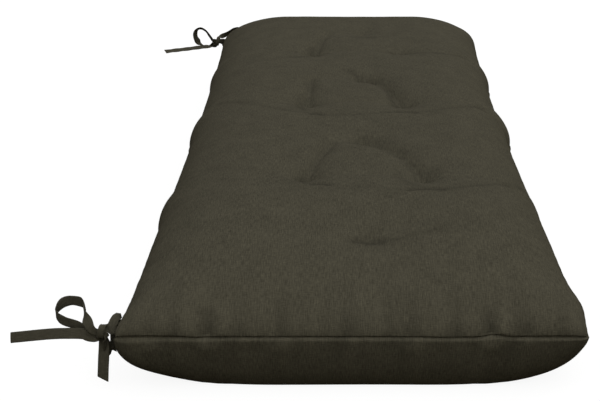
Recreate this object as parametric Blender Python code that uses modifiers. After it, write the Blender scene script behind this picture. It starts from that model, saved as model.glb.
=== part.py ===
"""Tufted bench cushion with a half-bow tie at two of its corners.

Metres, +Z up. The cushion lies on its underside, its short front end at -Y, and the
ties are at the two corners of its -X side. Its two panels meet in a seam half way up.
"""

import math
from collections import namedtuple

import bmesh
import bpy
from mathutils import Vector

MM = 0.001

# Cushion: driving dimensions
WIDTH = 0.500  # seam to seam across
LENGTH = 1.200  # seam to seam along
SEAM_HEIGHT = 0.072  # the seam above the surface that the cushion lies on
TOP_CROWN = 0.086  # crest of the top panel above the seam
LOW_CROWN = 0.082  # what the underside would reach below the seam, were it not pressed flat
CORNER_RADIUS = 0.006  # of the seam at a corner, seen from above
END_BOW = 0.001  # how far the short ends pull in half way between their corners
SIDE_BOW = {-1: 0.009, 1: 0.013}  # the same for the long sides at -X and +X

# A panel rises from the seam in a rim: how far in it goes on rising, and how boxy it is
Rim = namedtuple("Rim", "reach power")
TOP_SIDE_RIM = Rim(0.135, 2.1)
TOP_FRONT_RIM = Rim(0.220, 1.77)
TOP_BACK_RIM = Rim(0.100, 2.4)
LOW_SIDE_RIM = Rim(0.180, 2.8)
LOW_END_RIM = Rim(0.044, 1.95)
TOP_CORNER_FILL = 0.28  # how much fuller the top panel is near its corners
TOP_CORNER_REACH = 0.070
LOW_CORNER_FILL = 0.30  # the same for the underside at the front corner at -X
LOW_CORNER_REACH = 0.045

# Tufts: a lattice of columns and rows, counted from its middle
COLUMN = 0.0775
ROW = 0.153
LATTICE_MIDDLE = (0.008, -0.020)
PIT_RADIUS = 0.020
PIT_POWER = 1.3
HOLLOW_RADIUS = 0.070  # the wide hollow round a tuft
HOLLOW_SHARE = 0.35  # its depth as a share of the tuft's pull
UNDER_PULL = 0.5  # how much of the pull the underside takes

Tuft = namedtuple("Tuft", "column row pull")
TUFTS = (
    Tuft(0.14, -3.00, 0.20),
    Tuft(-0.88, -1.90, 0.22),
    Tuft(1.06, -1.91, 0.24),
    Tuft(0.09, -0.99, 0.18),
    Tuft(-0.95, 0.10, 0.22),
    Tuft(0.96, 0.12, 0.25),
    Tuft(0.13, 0.99, 0.22),
    Tuft(-0.90, 2.02, 0.22),
    Tuft(1.02, 2.04, 0.18),
    Tuft(0.14, 2.90, 0.18),
)

# Creases run from tuft to tuft, and from the paired tufts out to the long sides
Crease = namedtuple("Crease", "start end depth width")
CREASES = (
    Crease((-0.88, -1.90), (0.10, -1.95), 0.020, 0.007),
    Crease((1.06, -1.91), (0.10, -1.95), 0.015, 0.007),
    Crease((3.40, -2.02), (1.90, -1.97), 0.020, 0.007),
    Crease((-0.95, 0.10), (0.96, 0.12), 0.025, 0.008),
    Crease((-3.40, 0.50), (-1.60, 0.48), 0.010, 0.008),
    Crease((3.40, 0.08), (1.70, 0.12), 0.015, 0.007),
    Crease((-0.90, 2.02), (1.02, 2.04), 0.020, 0.008),
    Crease((-0.90, 2.02), (-2.10, 2.04), 0.020, 0.008),
    Crease((1.02, 2.04), (3.40, 2.00), 0.020, 0.008),
    Crease((-0.88, -1.90), (-0.45, -1.10), 0.110, 0.011),
    Crease((1.06, -1.91), (0.09, -0.99), 0.120, 0.013),
    Crease((-0.95, 0.10), (-0.90, 0.85), 0.110, 0.011),
    Crease((0.96, 0.12), (0.42, 0.94), 0.130, 0.013),
    Crease((-0.90, 2.02), (-0.65, 2.80), 0.100, 0.011),
    Crease((0.14, -2.98), (1.40, -2.74), 0.025, 0.010),
)
CREASE_POWER = 1.4

# The long sides swell between the rows of tufts; side is -1 at -X and 1 at +X
Swell = namedtuple("Swell", "side row out")
SWELLS = (
    Swell(-1, -3.79, 0.0055),
    Swell(-1, -1.88, 0.0060),
    Swell(-1, 0.22, 0.0070),
    Swell(-1, 2.14, 0.0040),
    Swell(1, -3.49, 0.0055),
    Swell(1, -1.90, 0.0020),
    Swell(1, 0.29, 0.0100),
    Swell(1, 2.15, 0.0065),
)
SWELL_WIDTH = 0.029

# Puckers cross the rim of a short end at -Y (-1) or +Y (1)
Pucker = namedtuple("Pucker", "end across depth width")
PUCKERS = (
    Pucker(-1, -0.160, 0.060, 0.010),
    Pucker(-1, 0.149, 0.085, 0.009),
    Pucker(-1, 0.194, 0.035, 0.009),
    Pucker(1, -0.128, 0.060, 0.010),
    Pucker(1, 0.137, 0.070, 0.010),
)
PUCKER_REACH = 0.055

# How finely a panel is divided before its flat stretches are thinned out
CELLS_A_COLUMN = 8
CELLS_A_ROW = 16
MIDDLE_CELLS_ACROSS = 16
MIDDLE_CELLS_ALONG = 52
RIM_CELLS = 8
KEPT_SHARE = 0.36
FLAT_WITHIN = 0.00002  # thinning leaves the pressed underside this close to flat

# Ties: flat tapes of the cushion's fabric
TAPE_WIDTH = 0.012
TAPE_THICKNESS = 0.0012
TAPE_STEP = 0.0035
SEWN_GAP = 0.00045  # between a tape's sewn end and the seam

# A tape's station, in millimetres from the corner that its tie is sewn beside: out to -X,
# in along the side towards its middle, and up from the seam. Wide is the way that the
# tape's width points there, as +X, in and up. Share is what the knot leaves of that width.
Station = namedtuple("Station", "out inward up wide share", defaults=(1.0,))

# Where a tape is sewn into the seam, in millimetres from the corner
Sewn = namedtuple("Sewn", "edge distance wide")
SEWN_RUN = 2.6  # how far a tape leaves the seam squarely

# The wrapping of a knot runs round the tapes that it holds, from right to left
Wrap = namedtuple("Wrap", "out inward up radius_in radius_up start turn advance")
WRAP_STEPS = 10
WRAP_SHARE = 0.6

FRONT_WRAP_SEWN = Sewn("side", 28.0, (0.0, 1.0, 0.0))
FRONT_WRAP_TAPE = (
    Station(5.4, 30.0, 2.2, (-0.2, 0.9, 0.3)),
    Station(3.8, 32.5, 5.9, (-0.2, 0.75, 0.58)),
    Station(6.3, 32.0, 7.6, (-0.38, 0.55, 0.74)),
    Station(8.8, 28.5, 5.4, (-0.7, 0.3, 0.6)),
    Station(11.0, 24.5, 1.4, (-0.78, 0.2, 0.55)),
    Station(13.5, 20.0, -1.6, (-0.6, 0.25, 0.7)),
    Station(16.2, 16.0, 3.5, (-0.2, 0.2, 0.9), 0.8),
)
FRONT_WRAP = Wrap(18.0, 11.2, 1.8, 4.6, 7.8, 75.0, 205.0, 6.0)
FRONT_TAIL_TAPE = (
    Station(29.0, 11.8, -6.8, (0.1, -0.25, -0.9), 0.7),
    Station(34.5, 12.2, -5.2, (0.0, -0.25, -0.95), 0.9),
    Station(40.2, 12.8, -2.1, (0.0, -0.35, -0.95)),
    Station(49.2, 14.6, -2.3, (0.0, -0.4, -0.9)),
    Station(62.9, 17.5, -3.9, (0.0, -0.4, -0.95)),
    Station(76.7, 20.5, -6.0, (0.0, -0.4, -0.95)),
    Station(93.2, 24.5, -9.6, (0.0, -0.4, -0.95)),
    Station(110.1, 29.5, -14.0, (0.0, -0.4, -0.95)),
    Station(126.6, 35.0, -18.6, (0.0, -0.4, -0.95)),
)
FRONT_LOOP_SEWN = Sewn("side", 43.0, (0.0, -1.0, 0.0))
FRONT_LOOP_TAPE = (
    Station(5.2, 42.8, -2.0, (-0.1, -1.0, 0.0)),
    Station(9.0, 41.0, -6.0, (-0.45, -0.85, -0.1)),
    Station(11.6, 37.5, -13.0, (-0.55, -0.8, -0.2)),
    Station(11.6, 31.0, -20.5, (-0.5, -0.8, -0.3)),
    Station(14.2, 23.5, -27.6, (-0.45, -0.8, -0.35)),
    Station(16.4, 17.8, -21.0, (-0.5, -0.75, -0.4)),
    Station(18.1, 13.4, -10.7, (-0.5, -0.6, -0.5), 0.82),
    Station(15.4, 10.8, -4.4, (-0.4, -0.25, -0.85), 0.56),
    Station(18.8, 10.6, 0.4, (-0.1, 0.0, -1.0), 0.53),
    Station(22.4, 10.4, 1.2, (0.0, 0.0, -1.0), 0.56),
    Station(26.0, 9.8, 1.2, (-0.1, -0.05, -1.0), 0.6),
    Station(31.3, 9.4, 5.8, (-0.5, -0.1, -0.8), 0.85),
    Station(35.3, 13.5, 12.1, (-0.7, -0.1, -0.6)),
    Station(39.2, 20.0, 16.5, (-0.35, 0.1, -0.8)),
    Station(41.5, 29.0, 19.1, (0.1, 0.35, -0.9)),
    Station(43.1, 39.0, 18.9, (0.1, 0.1, -1.0)),
    Station(48.4, 48.0, 18.2, (0.0, 0.0, -1.0)),
    Station(55.7, 54.0, 17.1, (0.0, 0.0, -1.0)),
    Station(63.7, 57.0, 15.8, (0.0, 0.0, -1.0)),
    Station(71.1, 57.0, 13.1, (0.0, 0.0, -1.0)),
    Station(75.8, 52.0, 9.7, (0.0, 0.0, -1.0)),
    Station(76.3, 44.0, 6.9, (0.0, 0.0, -1.0)),
    Station(72.3, 37.5, 4.6, (0.0, 0.0, -1.0)),
    Station(64.3, 32.0, 3.3, (0.0, 0.0, -1.0)),
    Station(54.7, 27.5, 2.3, (0.0, 0.0, -1.0)),
    Station(45.2, 23.0, 1.0, (0.0, 0.0, -1.0)),
    Station(37.0, 19.0, -0.8, (0.0, 0.0, -1.0), 0.8),
    Station(30.5, 16.4, 0.6, (0.0, 0.0, -1.0), 0.65),
    Station(26.6, 14.0, 0.6, (0.0, 0.0, -1.0), 0.6),
    Station(22.8, 13.4, -1.0, (0.4, 0.0, -0.9), 0.6),
    Station(20.8, 16.0, -6.0, (0.9, 0.0, -0.3), 0.7),
    Station(20.4, 16.8, -13.0, (1.0, 0.0, 0.0), 0.9),
    Station(20.8, 14.0, -26.0, (1.0, 0.0, 0.0)),
    Station(22.0, 12.0, -40.0, (1.0, 0.05, 0.0)),
    Station(23.4, 10.5, -56.5, (1.0, 0.1, 0.0)),
)

BACK_WRAP_SEWN = Sewn("end", 35.0, (-1.0, 0.0, 0.0))
BACK_WRAP_TAPE = (
    Station(-35.4, -5.6, 7.0, (-1.0, 0.0, 0.0)),
    Station(-35.2, -7.6, 20.0, (-1.0, 0.0, 0.1)),
    Station(-34.0, -8.2, 33.0, (-0.95, -0.1, -0.2)),
    Station(-29.5, -8.3, 40.4, (-0.7, -0.5, -0.6)),
    Station(-22.0, -8.3, 39.6, (-0.3, -0.6, -0.75)),
    Station(-13.0, -8.2, 34.6, (0.0, -0.6, -0.75)),
    Station(-5.0, -8.0, 29.6, (0.2, -0.55, -0.8)),
    Station(2.0, -7.0, 27.0, (0.7, -0.2, -0.5), 0.8),
)
BACK_WRAP = Wrap(8.0, -3.6, 17.0, 4.6, 8.8, 105.0, -205.0, 7.0)
BACK_TAIL_TAPE = (
    Station(20.5, -2.2, 7.2, (0.6, -0.6, -0.3), 0.62),
    Station(26.5, 1.6, 7.8, (0.2, -0.95, 0.1), 0.85),
    Station(33.5, 4.2, 7.8, (0.0, -0.93, 0.37), 0.95),
    Station(44.0, 5.0, 7.0, (0.0, -0.93, 0.37)),
    Station(58.0, 5.0, 5.1, (0.0, -0.93, 0.37)),
    Station(76.0, 5.0, 2.8, (0.0, -0.93, 0.37)),
    Station(97.0, 4.5, 0.2, (0.0, -0.93, 0.37)),
    Station(116.8, 4.0, -2.4, (0.0, -0.93, 0.37)),
)
BACK_LOOP_SEWN = Sewn("end", 10.0, (-1.0, 0.0, 0.0))
BACK_LOOP_TAPE = (
    Station(-9.6, -6.0, 3.0, (-1.0, 0.0, -0.1)),
    Station(-8.6, -7.4, 8.5, (-0.85, -0.2, -0.5)),
    Station(-5.0, -6.4, 14.2, (-0.45, -0.3, -0.85)),
    Station(1.0, -4.0, 16.6, (-0.1, -0.3, -0.95)),
    Station(7.0, -2.4, 17.0, (0.0, -0.1, -1.0), 0.8),
    Station(13.0, -2.2, 17.4, (0.0, -0.1, -1.0), 0.65),
    Station(18.0, -2.4, 18.2, (0.0, -0.2, -0.95), 0.65),
    Station(21.5, -2.8, 18.7, (0.0, -0.5, -0.85), 0.85),
    Station(26.5, -2.8, 26.0, (-0.5, -0.8, -0.25), 0.9),
    Station(30.6, -2.6, 33.0, (-0.42, -0.85, -0.3)),
    Station(36.3, -2.2, 39.2, (-0.33, -0.85, -0.38)),
    Station(44.2, -1.6, 43.6, (0.0, -0.83, -0.55)),
    Station(51.6, -1.0, 41.3, (0.3, -0.85, -0.42)),
    Station(55.7, -0.8, 33.9, (0.55, -0.8, -0.25)),
    Station(55.3, -2.4, 23.9, (0.66, -0.73, -0.15)),
    Station(50.3, -6.4, 13.8, (0.71, -0.53, -0.46)),
    Station(42.0, -8.6, 6.2, (0.05, -1.0, 0.05), 0.9),
    Station(34.5, -9.0, 4.6, (0.1, -0.85, -0.5), 0.8),
    Station(26.5, -8.3, 7.0, (0.05, -0.75, -0.65), 0.7),
    Station(19.8, -5.8, 12.6, (0.0, -0.3, -0.95), 0.6),
    Station(13.2, -5.4, 15.8, (0.0, -0.1, -1.0), 0.6),
    Station(7.5, -5.8, 15.6, (0.1, -0.2, -0.95), 0.62),
    Station(2.6, -9.6, 12.6, (0.5, -0.4, -0.75), 0.7),
    Station(-1.6, -13.2, 5.4, (0.85, -0.3, -0.4), 0.9),
    Station(-4.5, -14.8, -6.0, (1.0, 0.0, 0.0)),
    Station(-6.5, -14.8, -18.0, (1.0, 0.0, 0.0)),
    Station(-8.0, -13.8, -33.0, (1.0, 0.0, 0.0)),
    Station(-9.0, -12.6, -50.0, (1.0, 0.05, 0.0)),
)

FABRIC_COLOUR = (0.0561, 0.0513, 0.0382, 1.0)
TAPE_COLOUR = (0.0497, 0.0452, 0.0331, 1.0)


def new_material(name, colour, roughness):
    material = bpy.data.materials.new(name)
    material.use_nodes = True
    shader = material.node_tree.nodes["Principled BSDF"]
    shader.inputs["Base Color"].default_value = colour
    shader.inputs["Roughness"].default_value = roughness
    shader.inputs["Metallic"].default_value = 0.0
    return material


def add_object(name, mesh, collection, material):
    obj = bpy.data.objects.new(name, mesh)
    obj.data.materials.append(material)
    collection.objects.link(obj)
    return obj


# The cushion's form, worked out over the flat panel


def grid_lines(cell, cells, half):
    """Positions from -half to half: even cells in the middle, then closer ones up to the seam."""
    rim = half - cell * cells
    positive = [cell * k for k in range(cells)]
    positive += [half - rim * (1 - k / RIM_CELLS) ** 2 for k in range(RIM_CELLS + 1)]
    return [-value for value in reversed(positive[1:])] + positive


def on_lattice(column, row):
    return LATTICE_MIDDLE[0] + column * COLUMN, LATTICE_MIDDLE[1] + row * ROW


def segment_distance(x, y, start, end):
    along_x, along_y = end[0] - start[0], end[1] - start[1]
    share = ((x - start[0]) * along_x + (y - start[1]) * along_y) / (along_x**2 + along_y**2)
    share = min(max(share, 0.0), 1.0)
    return math.hypot(x - start[0] - share * along_x, y - start[1] - share * along_y)


def risen(distance, rim):
    """0 at the seam and 1 from the rim's reach inwards."""
    share = min(max(distance / rim.reach, 0.0), 1.0)
    return (1 - (1 - share) ** rim.power) ** (1 / rim.power)


def rise(x, y, side_rim, front_rim, back_rim):
    ends = risen(LENGTH / 2 + y, front_rim) * risen(LENGTH / 2 - y, back_rim)
    return risen(WIDTH / 2 - abs(x), side_rim) * ends


def left_by_tufts(x, y):
    left = 1.0
    for tuft in TUFTS:
        centre = on_lattice(tuft.column, tuft.row)
        radius = math.hypot(x - centre[0], y - centre[1])
        pit = math.exp(-((radius / PIT_RADIUS) ** PIT_POWER))
        hollow = math.exp(-((radius / HOLLOW_RADIUS) ** 2))
        left *= 1 - tuft.pull * (1 - HOLLOW_SHARE) * pit
        left *= 1 - tuft.pull * HOLLOW_SHARE * hollow
    return left


def left_by_creases(x, y):
    left = 1.0
    for crease in CREASES:
        distance = segment_distance(x, y, on_lattice(*crease.start), on_lattice(*crease.end))
        left *= 1 - crease.depth * math.exp(-((distance / crease.width) ** CREASE_POWER))
    return left


def left_by_puckers(x, y):
    left = 1.0
    for pucker in PUCKERS:
        from_seam = LENGTH / 2 - pucker.end * y
        if from_seam < PUCKER_REACH:
            fade = 1 - (from_seam / PUCKER_REACH) ** 2
            across = math.exp(-(((x - pucker.across) / pucker.width) ** 2))
            left *= 1 - pucker.depth * fade * across
    return left


def drawn_in(x, y):
    """Where a point of the flat panel comes to lie, seen from above."""
    side, end = x / (WIDTH / 2), y / (LENGTH / 2)
    outer = 1 if x > 0 else -1
    pulled = SIDE_BOW[outer] * (1 - end**2)
    for swell in SWELLS:
        if swell.side == outer:
            from_row = (y - on_lattice(0, swell.row)[1]) / SWELL_WIDTH
            pulled -= swell.out * math.exp(-(from_row**2))
    across = x - pulled * math.copysign(side**4, x)
    along = y - END_BOW * (1 - side**2) * math.copysign(end**4, y)
    past_x = (abs(x) - WIDTH / 2 + CORNER_RADIUS) / CORNER_RADIUS
    past_y = (abs(y) - LENGTH / 2 + CORNER_RADIUS) / CORNER_RADIUS
    if past_x > 0 and past_y > 0:
        across -= math.copysign(CORNER_RADIUS * past_x * (1 - math.sqrt(1 - past_y**2 / 2)), x)
        along -= math.copysign(CORNER_RADIUS * past_y * (1 - math.sqrt(1 - past_x**2 / 2)), y)
    return across, along


def top_height(x, y):
    left = left_by_tufts(x, y) * left_by_creases(x, y) * left_by_puckers(x, y)
    from_corner = math.hypot(abs(x) - WIDTH / 2, abs(y) - LENGTH / 2)
    fuller = 1 - TOP_CORNER_FILL * math.exp(-((from_corner / TOP_CORNER_REACH) ** 2))
    return SEAM_HEIGHT + TOP_CROWN * rise(x, y, TOP_SIDE_RIM, TOP_FRONT_RIM, TOP_BACK_RIM) ** fuller * left


def low_height(x, y):
    left = (1 - UNDER_PULL * (1 - left_by_tufts(x, y))) * left_by_puckers(x, y)
    from_corner = math.hypot(x + WIDTH / 2, y + LENGTH / 2)
    fuller = 1 - LOW_CORNER_FILL * math.exp(-((from_corner / LOW_CORNER_REACH) ** 2))
    fallen = rise(x, y, LOW_SIDE_RIM, LOW_END_RIM, LOW_END_RIM) ** fuller
    return max(SEAM_HEIGHT - LOW_CROWN * fallen * left, 0.0)


def cushion_mesh():
    """Two shaped grids, one for each panel, sewn together along their edges."""
    across = grid_lines(COLUMN / CELLS_A_COLUMN, MIDDLE_CELLS_ACROSS, WIDTH / 2)
    along = grid_lines(ROW / CELLS_A_ROW, MIDDLE_CELLS_ALONG, LENGTH / 2)
    columns, rows = len(across) - 1, len(along) - 1
    bm = bmesh.new()
    for height in (top_height, low_height):
        made = bmesh.ops.create_grid(bm, x_segments=columns, y_segments=rows, size=0.5)["verts"]
        for vert in made:
            x = across[round((vert.co.x + 0.5) * columns)]
            y = along[round((vert.co.y + 0.5) * rows)]
            vert.co = (*drawn_in(x, y), height(x, y))
        if height is low_height:
            faces = {face for vert in made for face in vert.link_faces}
            bmesh.ops.reverse_faces(bm, faces=list(faces))
    bmesh.ops.remove_doubles(bm, verts=bm.verts, dist=1e-6)
    mesh = bpy.data.meshes.new("cushion")
    bm.to_mesh(mesh)
    bm.free()
    mesh.shade_smooth()
    return mesh


def make_cushion(collection):
    cushion = add_object("cushion", cushion_mesh(), collection, new_material("fabric", FABRIC_COLOUR, 0.9))
    thinned = cushion.modifiers.new("thinned", "DECIMATE")
    thinned.ratio = KEPT_SHARE
    bpy.context.view_layer.update()
    evaluated = cushion.evaluated_get(bpy.context.evaluated_depsgraph_get())
    mesh = bpy.data.meshes.new_from_object(evaluated)
    cushion.modifiers.clear()
    for vertex in mesh.vertices:
        if vertex.co.z < FLAT_WITHIN:
            vertex.co.z = 0.0
    cushion.data = mesh
    return cushion


# The ties


def sewn_stations(sewn, corner, inward):
    """A tape's end at the seam, and the point where it starts to bend."""
    if sewn.edge == "side":
        edges = (sewn.distance * MM + side * TAPE_WIDTH / 2 for side in (-1, 0, 1))
        out = max(corner.x - drawn_in(corner.x, corner.y + inward * edge)[0] for edge in edges)
        out = (out + SEWN_GAP) / MM
        return tuple(Station(out + run, sewn.distance, 0.0, sewn.wide) for run in (0.0, SEWN_RUN))
    _, y = drawn_in(corner.x + sewn.distance * MM, corner.y)
    beyond = (inward * (y - corner.y) - SEWN_GAP) / MM
    return tuple(Station(-sewn.distance, beyond - run, 0.0, sewn.wide) for run in (0.0, SEWN_RUN))


def wrap_stations(wrap):
    """The turns of a knot's wrapping, round a line along X."""
    stations = []
    for step in range(WRAP_STEPS + 1):
        angle = math.radians(wrap.start + wrap.turn * step / WRAP_STEPS)
        stations.append(
            Station(
                wrap.out + wrap.advance * step / WRAP_STEPS,
                wrap.inward + wrap.radius_in * math.cos(angle),
                wrap.up + wrap.radius_up * math.sin(angle),
                (1.0, 0.0, 0.0),
                WRAP_SHARE,
            )
        )
    return tuple(stations)


def smooth(before, start, end, after, share):
    """A point between start and end on the smooth curve through all four."""
    return [
        0.5 * (2 * b + (c - a) * share + (2 * a - 5 * b + 4 * c - d) * share**2 + (3 * b - a - 3 * c + d) * share**3)
        for a, b, c, d in zip(before, start, end, after)
    ]


def tape_rows(stations, corner, inward):
    """Centre, width and share along the tape, in small even steps."""
    rows = []
    for station in stations:
        wide_x, wide_in, wide_up = station.wide
        rows.append(
            [
                corner.x - station.out * MM,
                corner.y + inward * station.inward * MM,
                corner.z + station.up * MM,
                wide_x,
                inward * wide_in,
                wide_up,
                station.share,
            ]
        )
    fine = []
    for k in range(len(rows) - 1):
        ends = rows[max(k - 1, 0)], rows[k], rows[k + 1], rows[min(k + 2, len(rows) - 1)]
        steps = max(1, round(math.dist(rows[k][:3], rows[k + 1][:3]) / TAPE_STEP))
        fine += [smooth(*ends, step / steps) for step in range(steps)]
    return fine + [rows[-1]]


def tape_mesh(name, rows):
    bm = bmesh.new()
    bmesh.ops.create_grid(bm, x_segments=1, y_segments=len(rows) - 1, size=0.5)
    for vert in bm.verts:
        k = round((vert.co.y + 0.5) * (len(rows) - 1))
        centre = Vector(rows[k][:3])
        run = Vector(rows[min(k + 1, len(rows) - 1)][:3]) - Vector(rows[max(k - 1, 0)][:3])
        wide = Vector(rows[k][3:6])
        wide -= wide.project(run)
        vert.co = centre + wide.normalized() * (math.copysign(TAPE_WIDTH / 2, vert.co.x) * rows[k][6])
    mesh = bpy.data.meshes.new(name)
    bm.to_mesh(mesh)
    bm.free()
    mesh.shade_smooth()
    return mesh


def make_tape(name, stations, corner, inward, collection, material):
    mesh = tape_mesh(name, tape_rows(stations, corner, inward))
    tape = add_object(name, mesh, collection, material)
    thickness = tape.modifiers.new("thickness", "SOLIDIFY")
    thickness.thickness = TAPE_THICKNESS
    thickness.offset = 0.0
    return tape


def make_ties(collection):
    material = new_material("tie_tape", TAPE_COLOUR, 0.9)
    front = Vector((-WIDTH / 2, -LENGTH / 2, SEAM_HEIGHT))
    back = Vector((-WIDTH / 2, LENGTH / 2, SEAM_HEIGHT))
    front_wrap = FRONT_WRAP_TAPE + wrap_stations(FRONT_WRAP) + FRONT_TAIL_TAPE
    back_wrap = BACK_WRAP_TAPE + wrap_stations(BACK_WRAP) + BACK_TAIL_TAPE
    tapes = (
        ("front_tie_wrap", FRONT_WRAP_SEWN, front_wrap, front, 1),
        ("front_tie_loop", FRONT_LOOP_SEWN, FRONT_LOOP_TAPE, front, 1),
        ("back_tie_wrap", BACK_WRAP_SEWN, back_wrap, back, -1),
        ("back_tie_loop", BACK_LOOP_SEWN, BACK_LOOP_TAPE, back, -1),
    )
    for name, sewn, stations, corner, inward in tapes:
        whole = sewn_stations(sewn, corner, inward) + stations
        make_tape(name, whole, corner, inward, collection, material)


def main():
    for old in list(bpy.data.objects):
        bpy.data.objects.remove(old, do_unlink=True)
    collection = bpy.data.collections.new("bench_cushion")
    bpy.context.scene.collection.children.link(collection)
    make_cushion(collection)
    make_ties(collection)


main()
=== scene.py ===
import math

import bmesh
import bpy
import numpy as np
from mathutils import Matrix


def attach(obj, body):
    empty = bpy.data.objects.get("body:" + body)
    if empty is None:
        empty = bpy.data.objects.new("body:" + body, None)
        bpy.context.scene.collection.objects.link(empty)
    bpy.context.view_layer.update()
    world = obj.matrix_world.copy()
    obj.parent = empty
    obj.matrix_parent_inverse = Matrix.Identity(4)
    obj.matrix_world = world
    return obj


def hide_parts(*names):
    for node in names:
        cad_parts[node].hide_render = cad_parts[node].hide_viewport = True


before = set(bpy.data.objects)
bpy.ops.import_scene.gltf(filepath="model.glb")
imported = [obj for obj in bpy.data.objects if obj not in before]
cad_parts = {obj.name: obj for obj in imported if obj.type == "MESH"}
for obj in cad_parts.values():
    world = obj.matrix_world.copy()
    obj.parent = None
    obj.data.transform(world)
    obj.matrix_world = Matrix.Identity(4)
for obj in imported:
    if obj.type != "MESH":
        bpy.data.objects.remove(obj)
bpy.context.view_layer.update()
print("frame loaded")

# The photograph's view, from beyond the front short end
view = {
    "place": (-0.01075, -1.72445, 0.68228),
    "pitchDown": 21.911,  # degrees
    "lens": 71.53,  # mm
    "sensor": 36,  # mm wide
    "shift": -0.0725,  # the picture's middle lies left of the optical axis
}

camera = bpy.data.objects.new("camera", bpy.data.cameras.new("camera"))
bpy.context.scene.collection.objects.link(camera)
camera.location = view["place"]
camera.rotation_euler = (math.radians(90 - view["pitchDown"]), 0, 0)
camera.data.sensor_width = view["sensor"]
camera.data.lens = view["lens"]
camera.data.shift_x = view["shift"]
bpy.context.scene.camera = camera


class Value:
    # a socket that Python's own operators work on
    def __init__(self, maker, socket):
        self.maker = maker
        self.socket = socket

    def __add__(self, other):
        return self.maker.math("ADD", self, other)

    def __radd__(self, other):
        return self.maker.math("ADD", other, self)

    def __sub__(self, other):
        return self.maker.math("SUBTRACT", self, other)

    def __rsub__(self, other):
        return self.maker.math("SUBTRACT", other, self)

    def __mul__(self, other):
        return self.maker.math("MULTIPLY", self, other)

    def __rmul__(self, other):
        return self.maker.math("MULTIPLY", other, self)

    def __truediv__(self, other):
        return self.maker.math("DIVIDE", self, other)

    def __abs__(self):
        return self.maker.math("ABSOLUTE", self, 0)


class Shading:
    # makes the nodes of one material, or of the world
    def __init__(self, tree):
        self.tree = tree
        tree.nodes.clear()

    def node(self, kind, settings=None, sockets=None, output=0):
        made = self.tree.nodes.new(kind)
        for name, value in (settings or {}).items():
            setattr(made, name, value)
        for key, value in (sockets or {}).items():
            if isinstance(value, Value):
                self.tree.links.new(value.socket, made.inputs[key])
            else:
                made.inputs[key].default_value = value
        return Value(self, made.outputs[output]) if made.outputs else None

    def math(self, operation, first, second):
        return self.node("ShaderNodeMath", {"operation": operation}, {0: first, 1: second})

    def clamped(self, value):
        return self.math("MINIMUM", self.math("MAXIMUM", value, 0.0), 1.0)

    def mix(self, factor, first, second, clamp=True):
        settings = {"data_type": "RGBA", "clamp_factor": clamp}
        sockets = {"Factor": factor, 6: first, 7: second}  # its colours A and B
        return self.node("ShaderNodeMix", settings, sockets, 2)

    def noise(self, vector, scale, detail):
        sockets = {"Vector": vector, "Scale": scale, "Detail": detail}
        return self.node("ShaderNodeTexNoise", {}, sockets)

    def parts(self, vector):
        return [self.node("ShaderNodeSeparateXYZ", {}, {0: vector}, axis) for axis in range(3)]

    def surface(self, sockets):
        shader = self.node("ShaderNodeBsdfPrincipled", {}, sockets)
        self.node("ShaderNodeOutputMaterial", {}, {"Surface": shader})


def newFinish(name):
    material = bpy.data.materials.new(name)
    material.use_nodes = True
    return material, Shading(material.node_tree)


def clothFinish(name, cloth):
    # a plain weave of uneven threads; the piece's UV map is in metres along its own cloth
    material, made = newFinish(name)
    uv = made.node("ShaderNodeUVMap", {"uv_map": "cloth"})
    across, along, _ = made.parts(uv)

    def streaks(long, wide, length, width, detail=2.0, layer=0.0):
        place = {0: long / length, 1: wide / width, 2: layer}
        place = made.node("ShaderNodeCombineXYZ", {}, place)
        return made.noise(place, scale=1.0, detail=detail) - 0.5

    def sine(place):
        return made.math("SINE", place / cloth["threadPitch"] * math.pi, 0)

    warpSlub = streaks(along, across, cloth["warpSlubLength"], cloth["slubWidth"])
    weftSlub = streaks(across, along, cloth["weftSlubLength"], cloth["slubWidth"])
    slub = warpSlub * cloth["warpShare"] + weftSlub * (1 - cloth["warpShare"])
    patches = made.noise(uv, scale=1 / cloth["patchSize"], detail=2.0) - 0.5
    longStreaks = streaks(
        along, across, cloth["streakLength"], cloth["streakWidth"], detail=1.0, layer=7.0
    )

    # threads crossing over and under each other
    sineU, sineV = sine(across), sine(along)
    overUnder = cloth["threadRise"] * (sineU * sineV)
    warp = abs(sineU) * (cloth["threadLevel"] + overUnder)
    weft = abs(sineV) * (cloth["threadLevel"] - overUnder)
    threads = made.math("MAXIMUM", warp, weft) - cloth["threadLevel"]

    shade = slub * cloth["slubContrast"] + patches * cloth["patchContrast"]
    shade = shade + longStreaks * cloth["streakContrast"]
    shade = made.clamped(shade + threads * cloth["threadContrast"] + 0.5)
    colour = made.mix(shade, cloth["dark"], cloth["pale"])
    # painted shade: the mesh's "hollow" value darkens the colour in folds and by the seam, and
    # paints it lighter where it is below zero
    if cloth["paintedShading"]:
        hollow = made.node("ShaderNodeAttribute", {"attribute_name": "hollow"}, {}, "Fac")
        colour = made.mix(hollow, colour, (0, 0, 0, 1), clamp=False)
    height = threads * cloth["threadHeight"] + slub * cloth["slubHeight"]  # metres
    bump = made.node("ShaderNodeBump", {}, {"Height": height, "Distance": 1.0, "Strength": 1.0})
    sockets = {
        "Base Color": colour,
        "Roughness": cloth["roughness"],
        "Specular IOR Level": cloth["specular"],
        "Normal": bump,
    }
    made.surface(sockets)
    return material


def addPiece(name, mesh, material):
    piece = bpy.data.objects.new(name, mesh)
    mesh.materials.append(material)
    bpy.context.scene.collection.objects.link(piece)
    return piece


def plainMesh(name, points, faces, facePlaces):
    # a closed smooth mesh; facePlaces holds each face corner's place on the cloth, in metres
    mesh = bpy.data.meshes.new(name)
    mesh.from_pydata(np.asarray(points).tolist(), [], faces)
    layer = mesh.uv_layers.new(name="cloth")
    layer.data.foreach_set("uv", np.asarray(facePlaces, np.float32).ravel())
    mesh.shade_smooth()
    return mesh


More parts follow.
